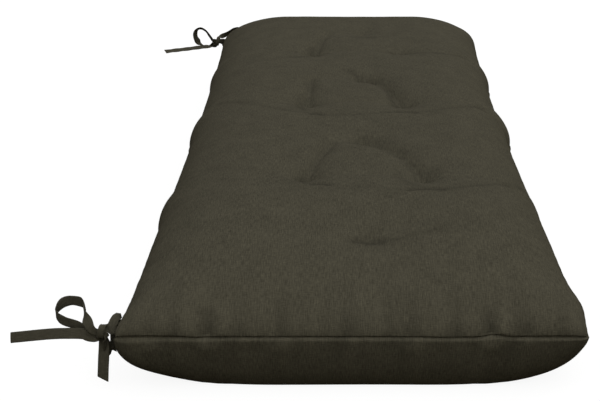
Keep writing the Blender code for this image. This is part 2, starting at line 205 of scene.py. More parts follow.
cushion = {
    "width": 0.500,  # seam to seam
    "length": 1.200,
    "seamHeight": 0.072,
    "topCrown": 0.086,  # above the seam
    "lowCrown": 0.082,  # below it, were the underside not pressed flat
    "lowCloth": (0.0, 3.0),  # where the lower panel's cloth starts, so that its threads differ
    "cornerRadius": 0.006,
    "endBow": 0.001,  # how far the short ends pull in
    "leftBow": 0.009,  # how far the long sides pull in half way along
    "rightBow": 0.013,
    "swellWidth": 0.029,  # of the long sides' swells, along the side
    "column": 0.0775,  # the tufts' lattice, and its middle
    "row": 0.153,
    "latticeX": 0.008,
    "latticeY": -0.020,
    "pitRadius": 0.020,
    "pitPower": 1.3,
    "hollowRadius": 0.070,
    "hollowShare": 0.35,  # of the pull, that the broad hollow round a pit takes
    "underPull": 0.5,  # the share of a tuft's pull that the underside takes
    "creasePower": 1.4,
    "puckerReach": (0.055, 0.026),  # above and below
    "topCornerFill": (0.28, 0.070),  # share and reach, near all four corners
    "lowCornerFill": (0.30, 0.045),  # below the front left corner
    # how far in each panel goes on rising from the seam, and how boxy its rim is
    "rims": {
        "topSide": (0.135, 2.1),
        "topFront": (0.220, 1.77),
        "topBack": (0.100, 2.4),
        "lowSide": (0.180, 2.8),
        "lowFront": (0.044, 1.95),
        "lowBack": (0.044, 1.95),
    },
    # side, row, and how far out the long side swells there
    "swells": (
        (-1, -3.79, 0.0055),
        (-1, -1.88, 0.006),
        (-1, 0.22, 0.007),
        (-1, 2.14, 0.004),
        (1, -3.49, 0.0055),
        (1, -1.90, 0.002),
        (1, 0.29, 0.0100),
        (1, 2.15, 0.0065),
    ),
    # column, row, pull
    "tufts": (
        (0.14, -3.00, 0.20),
        (-0.88, -1.90, 0.22),
        (1.06, -1.91, 0.24),
        (0.09, -0.99, 0.18),
        (-0.95, 0.10, 0.22),
        (0.96, 0.12, 0.25),
        (0.13, 0.99, 0.22),
        (-0.90, 2.02, 0.22),
        (1.02, 2.04, 0.18),
        (0.14, 2.90, 0.18),
    ),
    # from column, row to column, row; how far it bows to its right as a share of its length;
    # depth as a share of the crown, width in metres, and the depth of the fold along its middle
    "creases": (
        ((-0.88, -1.90), (0.10, -1.95), 0, 0.020, 0.007, 0.0012),
        ((1.06, -1.91), (0.10, -1.95), 0, 0.015, 0.007, 0.0008),
        ((3.40, -2.02), (1.90, -1.97), 0, 0.020, 0.007, 0.0012),
        ((-0.95, 0.10), (0.96, 0.12), 0, 0.025, 0.008, 0.001),
        ((-3.40, 0.50), (-1.60, 0.48), 0, 0.010, 0.008, 0.0005),
        ((3.40, 0.08), (1.70, 0.12), 0, 0.015, 0.007, 0.001),
        ((-0.90, 2.02), (1.02, 2.04), 0, 0.020, 0.008, 0.001),
        ((-0.90, 2.02), (-2.10, 2.04), 0, 0.020, 0.008, 0.001),
        ((1.02, 2.04), (3.40, 2.00), 0, 0.020, 0.008, 0.001),
        ((-0.88, -1.90), (-0.45, -1.10), 0, 0.110, 0.011, 0.002),
        ((1.06, -1.91), (0.09, -0.99), 0.08, 0.120, 0.013, 0.002),
        ((-0.95, 0.10), (-0.90, 0.85), 0, 0.110, 0.011, 0.002),
        ((0.96, 0.12), (0.42, 0.94), 0, 0.130, 0.013, 0.002),
        ((-0.90, 2.02), (-0.65, 2.80), 0, 0.100, 0.011, 0.002),
        ((0.14, -2.98), (1.40, -2.74), 0, 0.025, 0.010, 0.0008),
    ),
    # small folds of the top, seen from above: from, to, how far the line bows to its right as a
    # share of its length, how dark the painted shade in its hollow is, and its half width
    "smallFolds": (
        ((-0.004, -0.488), (0.040, -0.489), -0.10, 0.29, 0.006),
        ((0.036, -0.486), (0.112, -0.470), 0.03, 0.16, 0.0045),
        ((-0.062, -0.296), (-0.054, -0.350), 0.10, 0.14, 0.0055),
        ((-0.054, -0.352), (-0.024, -0.358), -0.10, 0.32, 0.006),
        ((-0.024, -0.358), (0.066, -0.376), 0.04, 0.09, 0.005),
        ((-0.226, -0.292), (-0.060, -0.345), -0.10, 0.07, 0.006),
        ((0.062, -0.378), (0.118, -0.376), -0.12, 0.32, 0.0065),
        ((0.060, -0.300), (0.088, -0.366), 0.10, 0.14, 0.007),
        ((0.118, -0.374), (0.236, -0.286), 0.06, 0.17, 0.0055),
        ((-0.008, -0.190), (0.030, -0.196), -0.15, 0.12, 0.008),
        ((-0.072, 0.020), (-0.064, -0.062), 0.10, 0.17, 0.006),
        ((-0.062, -0.074), (-0.036, -0.083), -0.10, 0.29, 0.0065),
        ((-0.036, -0.082), (0.066, -0.064), 0.05, 0.14, 0.006),
        ((0.062, -0.066), (0.100, -0.070), -0.12, 0.29, 0.0065),
        ((0.100, -0.068), (0.212, 0.010), 0.05, 0.16, 0.006),
        ((-0.210, 0.028), (-0.066, -0.070), 0.05, 0.14, 0.006),
        ((0.062, 0.066), (0.088, -0.050), 0.06, 0.14, 0.0065),
        ((-0.006, 0.166), (0.018, 0.128), -0.10, 0.20, 0.006),
        ((0.014, 0.126), (0.044, 0.126), -0.12, 0.29, 0.007),
        ((-0.106, 0.240), (-0.046, 0.268), 0.05, 0.23, 0.0065),
        ((-0.064, 0.330), (-0.058, 0.270), 0.05, 0.17, 0.0065),
        ((0.064, 0.300), (0.140, 0.268), 0.05, 0.19, 0.007),
        ((0.140, 0.268), (0.204, 0.296), 0.05, 0.19, 0.007),
        ((0.000, 0.384), (0.050, 0.374), -0.10, 0.17, 0.008),
    ),
    # end, place across, depth as a share of the crown, width
    "puckers": (
        (-1, -0.160, 0.060, 0.010),
        (-1, 0.149, 0.085, 0.009),
        (-1, 0.194, 0.035, 0.009),
        (1, -0.128, 0.060, 0.010),
        (1, 0.137, 0.070, 0.010),
    ),
    # folds over a short end's rim: end, place across, depth above the seam, bulge below it, width
    "rimFolds": (
        (-1, -0.157, 0.0024, 0.0024, 0.0078),
        (-1, 0.145, 0.0028, 0.0026, 0.0072),
        (-1, 0.186, 0.0012, 0.0008, 0.006),
        (-1, -0.215, 0.0008, 0.0014, 0.008),
        (-1, -0.080, 0.0004, 0.0012, 0.0120),
        (-1, 0.060, 0.0005, 0.0010, 0.0110),
        (1, -0.128, 0.0022, 0.0020, 0.006),
        (1, 0.137, 0.0022, 0.0020, 0.006),
    ),
    # where the seam lifts: end, place across, height, width
    "seamLifts": (
        (-1, 0.152, 0.0028, 0.011),
        (-1, 0.100, -0.0008, 0.030),
        (-1, -0.165, -0.0010, 0.016),
        (1, 0.137, 0.0020, 0.012),
    ),
    # seam and small folds
    "grooveDepth": 0.0024,
    "grooveWidth": 0.0010,
    "lipHeight": 0.0024,  # how far the lower panel stands out just below the seam
    "lipPlace": 0.0024,
    "lipReach": 0.022,
    "liftReach": 0.020,  # of the seam's lifts
    "foldStart": 0.004,  # of a rim fold, up from the seam
    "foldReach": 0.040,
    "foldRidges": ((0.6, 2.0), (0.3, -2.2)),  # beside it: height, and place in its widths
    "bulgePlace": 0.013,  # of its bulge, down from the seam
    "bulgeReach": 0.009,
    "bulgeBreadth": 1.4,  # in the fold's widths
    "bulgeHollow": (0.5, -2.0),  # beside it: depth, and place in the fold's widths
    "gatherHeight": 0.00035,  # gathers that run out from the seam
    "gatherReach": 0.016,
    "gatherPitches": (0.011, 0.017, 0.026, 0.041),
    "waveHeight": 0.0014,  # broad unevenness of the filling
    "waveStart": 0.050,  # from the seam
    "waveSkew": 0.3,
    "wavePitches": (0.055, 0.083, 0.120, 0.170),
    "foldWidth": 0.0030,  # of the fold along a crease's middle
    "foldEnd": 0.3,  # the share of the crease's length where it fades out
    "starHeight": 0.0007,  # gathers round a tuft
    "starPlace": 0.015,
    "starWidth": 0.008,
    "starWaves": ((7, 1.0), (11, 0.6)),  # how many, and how strong
    "foldDepth": 0.0065,  # of a small fold, if it were wholly dark
    "foldTaper": (12, 0.25),  # how soon it deepens from its ends, and its least share there
    # painted shade and light: how much darker the hollow of a rim fold is painted, and what lies
    # beside its bulge, for each metre; its ridges and its bulge are painted lighter
    "rimShade": (125, 95),
    # painted shade and painted light: lengthwise bands close to the seam, darker and lighter as its
    # gathers would shade it
    "seamPitches": (0.023, 0.037, 0.061),  # uneven lengthwise bands close to the seam
    "seamShade": 0.19,
    "seamShadeReach": 0.035,
    "seed": 5,
    # close to the seam the relief stands out level: how it turns round a corner, and how far up
    "cornerTurn": 0.006,
    "levelReach": 0.003,
    # the mesh's cells, along the cloth
    "cell": 0.0042,
    "atSeam": 0.0005,
    "growth": 0.09,  # for each metre from the seam
    "creaseCell": 0.0027,  # between the tufts
    "tuftColumns": (-0.085, 0.105),
    "tuftRows": (-1.95, 0.02, 2.00),
    "rowReach": 0.014,
    "rimKept": 0.050,  # from the seam, where the underside keeps every line
}
halfWidth, halfLength = cushion["width"] / 2, cushion["length"] / 2


def onLattice(column, row):
    x = cushion["latticeX"] + column * cushion["column"]
    y = cushion["latticeY"] + row * cushion["row"]
    return x, y


def risen(distance, rim):
    reach, power = cushion["rims"][rim]
    share = np.clip(distance / reach, 0, 1)
    return (1 - (1 - share) ** power) ** (1 / power)


def arcNearest(x, y, start, end, bow, pieces=8):
    # distance to a bowed line, and how far along it the nearest point is
    start, end = np.array(start), np.array(end)
    along = end - start
    aside = np.array([along[1], -along[0]]) * bow
    shares = np.linspace(0, 1, pieces + 1 if bow else 2)
    line = [start + along * share + aside * 4 * share * (1 - share) for share in shares]
    nearest = np.full_like(x, np.inf)
    place = np.zeros_like(x)
    for k in range(len(line) - 1):
        alongX, alongY = line[k + 1] - line[k]
        share = ((x - line[k][0]) * alongX + (y - line[k][1]) * alongY) / (alongX**2 + alongY**2)
        share = np.clip(share, 0, 1)
        distance = np.hypot(x - line[k][0] - share * alongX, y - line[k][1] - share * alongY)
        closer = distance < nearest
        nearest = np.where(closer, distance, nearest)
        place = np.where(closer, (k + share) / (len(line) - 1), place)
    return nearest, place


def leftByTufts(x, y):
    left = np.ones_like(x)
    for column, row, pull in cushion["tufts"]:
        centreX, centreY = onLattice(column, row)
        radius = np.hypot(x - centreX, y - centreY)
        pit = np.exp(-((radius / cushion["pitRadius"]) ** cushion["pitPower"]))
        hollow = np.exp(-((radius / cushion["hollowRadius"]) ** 2))
        left *= 1 - pull * (1 - cushion["hollowShare"]) * pit
        left *= 1 - pull * cushion["hollowShare"] * hollow
    return left


def leftByCreases(x, y):
    left = np.ones_like(x)
    for start, end, bow, depth, width, _ in cushion["creases"]:
        distance, _ = arcNearest(x, y, onLattice(*start), onLattice(*end), bow)
        left *= 1 - depth * np.exp(-((distance / width) ** cushion["creasePower"]))
    return left


def leftByPuckers(x, y, reach):
    left = np.ones_like(x)
    for end, across, depth, width in cushion["puckers"]:
        fromSeam = halfLength - end * y
        fade = np.clip(1 - (fromSeam / reach) ** 2, 0, 1)
        left *= 1 - depth * fade * np.exp(-(((x - across) / width) ** 2))
    return left


def drawnIn(x, y):
    # where a point of the flat panel comes to lie, seen from above
    side, end = x / halfWidth, y / halfLength
    pulled = np.where(x > 0, cushion["rightBow"], cushion["leftBow"]) * (1 - end**2)
    for sideOf, row, out in cushion["swells"]:
        fromRow = (y - onLattice(0, row)[1]) / cushion["swellWidth"]
        pulled = pulled - np.where(np.sign(x) == sideOf, out * np.exp(-(fromRow**2)), 0)
    across = x - pulled * np.sign(x) * side**4
    along = y - cushion["endBow"] * (1 - side**2) * np.sign(y) * end**4
    radius = cushion["cornerRadius"]
    pastX = np.clip((np.abs(x) - halfWidth + radius) / radius, 0, 1)
    pastY = np.clip((np.abs(y) - halfLength + radius) / radius, 0, 1)
    across = across - np.sign(x) * radius * pastX * (1 - np.sqrt(1 - pastY**2 / 2))
    along = along - np.sign(y) * radius * pastY * (1 - np.sqrt(1 - pastX**2 / 2))
    return across, along


def rimNames(top):
    return ("topSide", "topFront", "topBack") if top else ("lowSide", "lowFront", "lowBack")


def panelPoints(x, y, top):
    # where the points of a flat panel lie on the filled cushion
    side, front, back = rimNames(top)
    rise = risen(halfWidth - np.abs(x), side)
    rise = rise * risen(halfLength + y, front) * risen(halfLength - y, back)
    across, along = (np.abs(x), np.abs(y)) if top else (-x, -y)
    fromCorner = np.hypot(across - halfWidth, along - halfLength)
    fill, reach = cushion["topCornerFill"] if top else cushion["lowCornerFill"]
    rise = rise ** (1 - fill * np.exp(-((fromCorner / reach) ** 2)))
    if top:
        left = leftByTufts(x, y) * leftByCreases(x, y)
        left = left * leftByPuckers(x, y, cushion["puckerReach"][0])
        height = cushion["seamHeight"] + cushion["topCrown"] * rise * left
    else:
        left = 1 - cushion["underPull"] * (1 - leftByTufts(x, y))
        left = left * leftByPuckers(x, y, cushion["puckerReach"][1])
        height = np.maximum(cushion["seamHeight"] - cushion["lowCrown"] * rise * left, 0)
    return np.stack([*drawnIn(x, y), height], -1)


def rimArc(half, rim, steps=4000):
    # distances from the seam to the middle, finest at the seam: on the flat, and along the cloth
    flat = np.linspace(0, 1, steps + 1) ** 3 * half
    height = cushion["topCrown"] * risen(flat, rim)
    return flat, np.concatenate([[0], np.cumsum(np.hypot(np.diff(flat), np.diff(height)))])


def clothPlaces(x, y, top):
    # each point's place along the cloth from its panel's middle, and its distances from the seam
    side, front, back = rimNames(top)
    sideArc = rimArc(halfWidth, side)
    frontArc, backArc = rimArc(halfLength, front), rimArc(halfLength, back)
    fromSide = np.interp(halfWidth - np.abs(x), *sideArc)
    fromFront, fromBack = np.interp(halfLength + y, *frontArc), np.interp(halfLength - y, *backArc)
    fromEnd = np.where(y < 0, fromFront, fromBack)
    wholeAlong = np.where(y < 0, frontArc[1][-1], backArc[1][-1])
    across = np.sign(x) * (sideArc[1][-1] - fromSide)
    along = np.sign(y) * (wholeAlong - fromEnd)
    return across, along, fromSide, fromEnd


def halfLines(half, rimPair, isFine):
    # lines from the seam to the middle, close where either panel rises steeply or is creased
    flat, _ = rimArc(half, rimPair[0])
    wanted = 0
    for rim in rimPair:
        _, arc = rimArc(half, rim)
        cell = np.minimum(cushion["cell"], cushion["atSeam"] + cushion["growth"] * arc)
        cell = np.where(isFine(half - flat), np.minimum(cell, cushion["creaseCell"]), cell)
        wanted = np.maximum(wanted, np.gradient(arc) / cell)
    count = np.concatenate([[0], np.cumsum((wanted[1:] + wanted[:-1]) / 2)])
    cells = round(count[-1])
    return half - np.interp(np.linspace(0, count[-1], cells + 1), count, flat)


def nearTuftColumns(x):
    low, high = cushion["tuftColumns"]
    return (x > low) & (x < high)


def nearTuftRows(y):
    rows = [onLattice(0, row)[1] for row in cushion["tuftRows"]]
    return np.min([np.abs(y - row) for row in rows], axis=0) < cushion["rowReach"]


def gridLines():
    left = -halfLines(halfWidth, ("topSide", "lowSide"), lambda x: nearTuftColumns(-x))
    right = halfLines(halfWidth, ("topSide", "lowSide"), nearTuftColumns)
    front = -halfLines(halfLength, ("topFront", "lowFront"), lambda y: nearTuftRows(-y))
    back = halfLines(halfLength, ("topBack", "lowBack"), nearTuftRows)
    return np.concatenate([left, right[-2::-1]]), np.concatenate([front, back[-2::-1]])


def waves(place, pitches, random):
    total = 0
    for pitch in pitches:
        total = total + np.sin(place * (2 * math.pi / pitch) + random.uniform(0, 2 * math.pi))
    return total / len(pitches)


def outwards(x, y, fromSide, fromEnd, top, points):
    # unit normals; close to the seam they turn level, so that both panels share them there
    turn = cushion["cornerTurn"]
    level = [np.sign(x) * np.exp(-fromSide / turn), np.sign(y) * np.exp(-fromEnd / turn)]
    level = np.stack(level, -1)
    level /= np.maximum(np.hypot(level[..., 0], level[..., 1]), 1e-9)[..., None]
    level = np.concatenate([level, np.zeros_like(level[..., :1])], -1)
    normal = np.cross(np.gradient(points, axis=1), np.gradient(points, axis=0))
    normal *= 1 if top else -1
    normal /= np.maximum(np.linalg.norm(normal, axis=-1), 1e-12)[..., None]
    share = np.clip(np.minimum(fromSide, fromEnd) / cushion["levelReach"], 0, 1)[..., None]
    normal = normal * share + level * (1 - share)
    return normal / np.linalg.norm(normal, axis=-1)[..., None]


def rimFold(x, y, fromEnd, top):
    raised = 0
    for end, across, depth, bulge, width in cushion["rimFolds"]:
        beside = (x - across) / width
        isHere = np.sign(y) == end
        if top:
            place = fromEnd / cushion["foldReach"]
            fade = np.clip(1 - place**2, 0, 1) * np.clip(fromEnd / cushion["foldStart"], 0, 1)
            ridges = cushion["foldRidges"]
            ridge = sum(height * np.exp(-((beside - at) ** 2)) for height, at in ridges)
            raised = raised + isHere * depth * fade * (ridge - np.exp(-(beside**2)))
        else:
            place = (fromEnd - cushion["bulgePlace"]) / cushion["bulgeReach"]
            low, at = cushion["bulgeHollow"]
            shape = np.exp(-((beside / cushion["bulgeBreadth"]) ** 2))
            shape = shape - low * np.exp(-((beside - at) ** 2))
            raised = raised + isHere * bulge * np.exp(-(place**2)) * shape
    return raised


def seamLift(x, y, fromEnd):
    lift = 0
    fade = np.exp(-fromEnd / cushion["liftReach"])
    for end, across, height, width in cushion["seamLifts"]:
        beside = np.exp(-(((x - across) / width) ** 2))
        lift = lift + (np.sign(y) == end) * height * beside * fade
    return lift


def finePanel(x, y, top):
    # the panel's points with its seam, folds and gathers, their places on the cloth, and its
    # painted shade: how much darker it is painted there, or lighter where that is below zero
    random = np.random.default_rng(cushion["seed"] + top)
    points = panelPoints(x, y, top)
    across, along, fromSide, fromEnd = clothPlaces(x, y, top)
    fromSeam = np.minimum(fromSide, fromEnd)
    normal = outwards(x, y, fromSide, fromEnd, top, points)
    raised = -cushion["grooveDepth"] * np.exp(-((fromSeam / cushion["grooveWidth"]) ** 2))
    if not top:
        lip = 1 - np.exp(-((fromSeam / cushion["lipPlace"]) ** 2))
        raised = raised + cushion["lipHeight"] * lip * np.exp(-fromSeam / cushion["lipReach"])
    fold = rimFold(x, y, fromEnd, top)
    raised = raised + fold
    alongSeam = np.where(fromSide < fromEnd, y, x)
    # painted shade and painted light: bands along the seam, darker and lighter as its gathers would
    # shade it, and in the rim folds darker hollows with lighter ridges and bulges
    bands = waves(alongSeam, cushion["seamPitches"], random)
    hollow = cushion["seamShade"] * bands * np.exp(-fromSeam / cushion["seamShadeReach"])
    hollow = hollow - fold * cushion["rimShade"][0 if top else 1]
    gathers = waves(alongSeam, cushion["gatherPitches"], random)
    nearSeam = fromSeam / cushion["gatherReach"]
    raised = raised + cushion["gatherHeight"] * gathers * nearSeam * np.exp(1 - nearSeam)
    if top:
        inner = np.clip(fromSeam / cushion["waveStart"], 0, 1)
        broad = waves(x + cushion["waveSkew"] * y, cushion["wavePitches"], random)
        broad = broad * waves(y, cushion["wavePitches"], random)
        raised = raised + cushion["waveHeight"] * broad * inner
        for start, end, bow, _, _, fold in cushion["creases"]:
            distance, place = arcNearest(x, y, onLattice(*start), onLattice(*end), bow)
            fade = np.clip((1 - place) / cushion["foldEnd"], 0, 1)
            raised = raised - fold * fade * np.exp(-distance / cushion["foldWidth"])
        # painted shade along each small fold, as well as its real dip
        for start, end, bow, shade, width in cushion["smallFolds"]:
            distance, place = arcNearest(x, y, start, end, bow)
            taper, least = cushion["foldTaper"]
            inside = shade * np.exp(-((distance / width) ** 2))
            inside = inside * np.clip(place * (1 - place) * taper, least, 1)
            hollow = hollow + inside
            raised = raised - cushion["foldDepth"] * inside
        for column, row, _ in cushion["tufts"]:
            centreX, centreY = onLattice(column, row)
            radius = np.hypot(x - centreX, y - centreY)
            angle = np.arctan2(y - centreY, x - centreX)
            star = 0
            for count, strength in cushion["starWaves"]:
                star = star + strength * np.sin(count * angle + random.uniform(0, 6))
            ring = np.exp(-(((radius - cushion["starPlace"]) / cushion["starWidth"]) ** 2))
            raised = raised + cushion["starHeight"] * star * ring
    points = points + normal * raised[..., None]
    points[..., 2] += seamLift(x, y, fromEnd)
    points[..., 2] = np.maximum(points[..., 2], 0)
    return points, np.stack([across, along], -1), hollow


def underLines(lines):
    # the underside keeps every line near the seam, and every second one in its middle
    nearSeam = abs(lines[0]) - np.abs(lines) < cushion["rimKept"]
    return [k for k in range(len(lines)) if nearSeam[k] or k % 2 == 0]


def makeCushion():
    xs, ys = gridLines()
    flatX, flatY = np.meshgrid(xs, ys)
    points, places, hollow = finePanel(flatX, flatY, True)
    index = np.arange(flatX.size).reshape(flatX.shape)
    columns, rows = len(xs), len(ys)
    print("cushion grid", columns, rows)

    faces, corners = [], []

    def addFace(vertices, flat):
        faces.append(vertices)
        corners.extend(flat)

    for k in range(rows - 1):
        for j in range(columns - 1):
            ring = ((k, j), (k, j + 1), (k + 1, j + 1), (k + 1, j))
            addFace([int(index[place]) for place in ring], [places[place] for place in ring])

    # the underside shares the seam's vertices, and has its own inside them
    lowPoints, lowPlaces, lowPaintedShading = finePanel(flatX, flatY, False)
    lowPlaces = lowPlaces + cushion["lowCloth"]
    keptX, keptY = underLines(xs), underLines(ys)
    lowIndex = index.copy()
    added, addedPaintedShading = [], []
    for k in keptY[1:-1]:
        for j in keptX[1:-1]:
            lowIndex[k, j] = flatX.size + len(added)
            added.append(lowPoints[k, j])
            addedPaintedShading.append(lowPaintedShading[k, j])

    for k0, k1 in zip(keptY, keptY[1:]):
        for j0, j1 in zip(keptX, keptX[1:]):
            ring = [(k0, j) for j in (range(j0, j1) if k0 == 0 else (j0,))]
            ring += [(k, j1) for k in (range(k0, k1) if j1 == columns - 1 else (k0,))]
            ring += [(k1, j) for j in (range(j1, j0, -1) if k1 == rows - 1 else (j1,))]
            ring += [(k, j0) for k in (range(k1, k0, -1) if j0 == 0 else (k1,))]
            ring.reverse()
            addFace([int(lowIndex[place]) for place in ring], [lowPlaces[place] for place in ring])
    everyPoint = np.concatenate([points.reshape(-1, 3), np.array(added)])
    mesh = plainMesh("cushionCloth", everyPoint, faces, corners)
    # painted shade for each vertex, in the "hollow" attribute that the cloth's material reads
    everyPaintedShading = np.concatenate([hollow.ravel(), addedPaintedShading]).astype(np.float32)
    layer = mesh.attributes.new("hollow", "FLOAT", "POINT")
    layer.data.foreach_set("value", everyPaintedShading)
    return mesh


cushionCloth = {
    # the mesh's folds are painted darker, as painted shade, and some ridges lighter, as painted
    # light
    "paintedShading": True,  # the mesh says where its folds are darker
    "threadPitch": 0.0009,
    "threadLevel": 0.6,  # how high a thread lies, as a share of what its height may be
    "threadRise": 0.4,  # how much higher it is where it crosses over
    "threadHeight": 0.00012,
    "threadContrast": 0.36,
    "slubWidth": 0.0010,
    "warpSlubLength": 0.009,
    "weftSlubLength": 0.006,
    "warpShare": 0.6,
    "slubContrast": 2.9,
    "slubHeight": 0.0005,
    "streakWidth": 0.0028,
    "streakLength": 0.070,
    "streakContrast": 0.28,
    "patchSize": 0.03,
    "patchContrast": 0.45,
    "dark": (0.0312, 0.0286, 0.0202, 1),
    "pale": (0.0696, 0.0638, 0.0449, 1),
    "roughness": 0.92,
    "specular": 0.05,
}

cushionPiece = addPiece("cushionCloth", makeCushion(), clothFinish("cushionCloth", cushionCloth))
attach(cushionPiece, "root")
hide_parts("cushion")
print("cushion made", len(cushionPiece.data.polygons))


# A tie is two tapes, each a list of stations in millimetres from the tie's corner: out to -X,
# in along the side, up from the seam; the way that the tape's width points (+X, in, up); and
# how much of that width the knot leaves. A wrap runs round the tapes that its knot holds.
tape = {
    "width": 0.012,
    "thickness": 0.0012,
    "step": 0.0015,  # between the mesh's rows
    "columns": (0, 0.25, 0.5, 0.7, 0.8, 0.9, 0.97, 1),  # across half its width
    "sewnGap": 0.45,  # mm, from the seam
    "sewnRun": 2.6,
    "sewnIn": 3.0,  # the end goes on into the seam
    "edgePower": 7,  # how square its edges are
    "pleat": 0.00022,  # where a knot gathers it
    "pleats": 3,
    "gathered": 0.6,  # the share of its width that is left where it is wholly gathered
    "ripple": 0.00035,
    "ripplePitch": 0.021,
    "ripplePhase": 1.9,  # between its two edges
    "rippleStart": 0.012,
    "hemStitch": 0.8,  # where the edge stitches run, as a share of half the width
    "hemWidth": 0.07,
    "hemDip": 0.00012,
    "endSlant": 0.0032,
    "endReach": 0.006,
    "endStitch": 0.0045,
    "endCloth": 0.030,  # where the ends' own faces lie on the cloth
}

stitch = {
    "start": 0.006,  # along the tape
    "endSpan": 0.76,  # across its end, as a share of half the width
    "pitch": 0.0031,
    "length": 0.0021,
    "thread": 0.00042,
    "proud": 0.00004,
}

frontTie = {
    "corner": (-1, -1),
    "wrapSlant": 0.2,  # how far the free end is cut aslant
    "loopSlant": 1,
    "wrapSewn": ("side", 28, (0, 1, 0)),
    "wrapTo": (
        (5.4, 30, 2.2, (-0.2, 0.9, 0.3), 1),
        (3.8, 32.5, 5.9, (-0.2, 0.75, 0.58), 1),
        (6.3, 32, 7.6, (-0.38, 0.55, 0.74), 1),
        (8.8, 28.5, 5.4, (-0.7, 0.3, 0.6), 1),
        (11, 24.5, 1.4, (-0.78, 0.2, 0.55), 1),
        (13.5, 20, -1.6, (-0.6, 0.25, 0.7), 1),
        (16.2, 16, 3.5, (-0.2, 0.2, 0.9), 0.8),
    ),
    "wrap": {
        "out": 18,
        "in": 11.2,
        "up": 1.8,
        "radii": (4.6, 7.8),  # in, and up
        "start": 75,  # degrees
        "turn": 205,
        "advance": 6,  # outwards
    },
    "tail": (
        (29, 11.8, -6.8, (0.1, -0.25, -0.9), 0.7),
        (34.5, 12.2, -5.2, (0, -0.25, -0.95), 0.9),
        (40.2, 12.8, -2.1, (0, -0.35, -0.95), 1),
        (49.2, 14.6, -2.3, (0, -0.4, -0.9), 1),
        (62.9, 17.5, -3.9, (0, -0.4, -0.95), 1),
        (76.7, 20.5, -6, (0, -0.4, -0.95), 1),
        (93.2, 24.5, -9.6, (0, -0.4, -0.95), 1),
        (110.1, 29.5, -14, (0, -0.4, -0.95), 1),
        (126.6, 35, -18.6, (0, -0.4, -0.95), 1),
    ),
    "loopSewn": ("side", 43, (0, -1, 0)),
    "loop": (
        (5.2, 42.8, -2, (-0.1, -1, 0), 1),
        (9, 41, -6, (-0.45, -0.85, -0.1), 1),
        (11.6, 37.5, -13, (-0.55, -0.8, -0.2), 1),
        (11.6, 31, -20.5, (-0.5, -0.8, -0.3), 1),
        (14.2, 23.5, -27.6, (-0.45, -0.8, -0.35), 1),
        (16.4, 17.8, -21, (-0.5, -0.75, -0.4), 1),
        (18.1, 13.4, -10.7, (-0.5, -0.6, -0.5), 0.82),
        (15.4, 10.8, -4.4, (-0.4, -0.25, -0.85), 0.56),
        (18.8, 10.6, 0.4, (-0.1, 0, -1), 0.53),
        (22.4, 10.4, 1.2, (0, 0, -1), 0.56),
        (26, 9.8, 1.2, (-0.1, -0.05, -1), 0.6),
        (31.3, 9.4, 5.8, (-0.5, -0.1, -0.8), 0.85),
        (35.3, 13.5, 12.1, (-0.7, -0.1, -0.6), 1),
        (39.2, 20, 16.5, (-0.35, 0.1, -0.8), 1),
        (41.5, 29, 19.1, (0.1, 0.35, -0.9), 1),
        (43.1, 39, 18.9, (0.1, 0.1, -1), 1),
        (48.4, 48, 18.2, (0, 0, -1), 1),
        (55.7, 54, 17.1, (0, 0, -1), 1),
        (63.7, 57, 15.8, (0, 0, -1), 1),
        (71.1, 57, 13.1, (0, 0, -1), 1),
        (75.8, 52, 9.7, (0, 0, -1), 1),
        (76.3, 44, 6.9, (0, 0, -1), 1),
        (72.3, 37.5, 4.6, (0, 0, -1), 1),
        (64.3, 32, 3.3, (0, 0, -1), 1),
        (54.7, 27.5, 2.3, (0, 0, -1), 1),
        (45.2, 23, 1, (0, 0, -1), 1),
        (37, 19, -0.8, (0, 0, -1), 0.8),
        (30.5, 16.4, 0.6, (0, 0, -1), 0.65),
        (26.6, 14, 0.6, (0, 0, -1), 0.6),
        (22.8, 13.4, -1, (0.4, 0, -0.9), 0.6),
        (20.8, 16, -6, (0.9, 0, -0.3), 0.7),
        (20.4, 16.8, -13, (1, 0, 0), 0.9),
        (20.8, 14, -26, (1, 0, 0), 1),
        (22, 12, -40, (1, 0.05, 0), 1),
        (23.4, 10.5, -56.5, (1, 0.1, 0), 1),
    ),
}

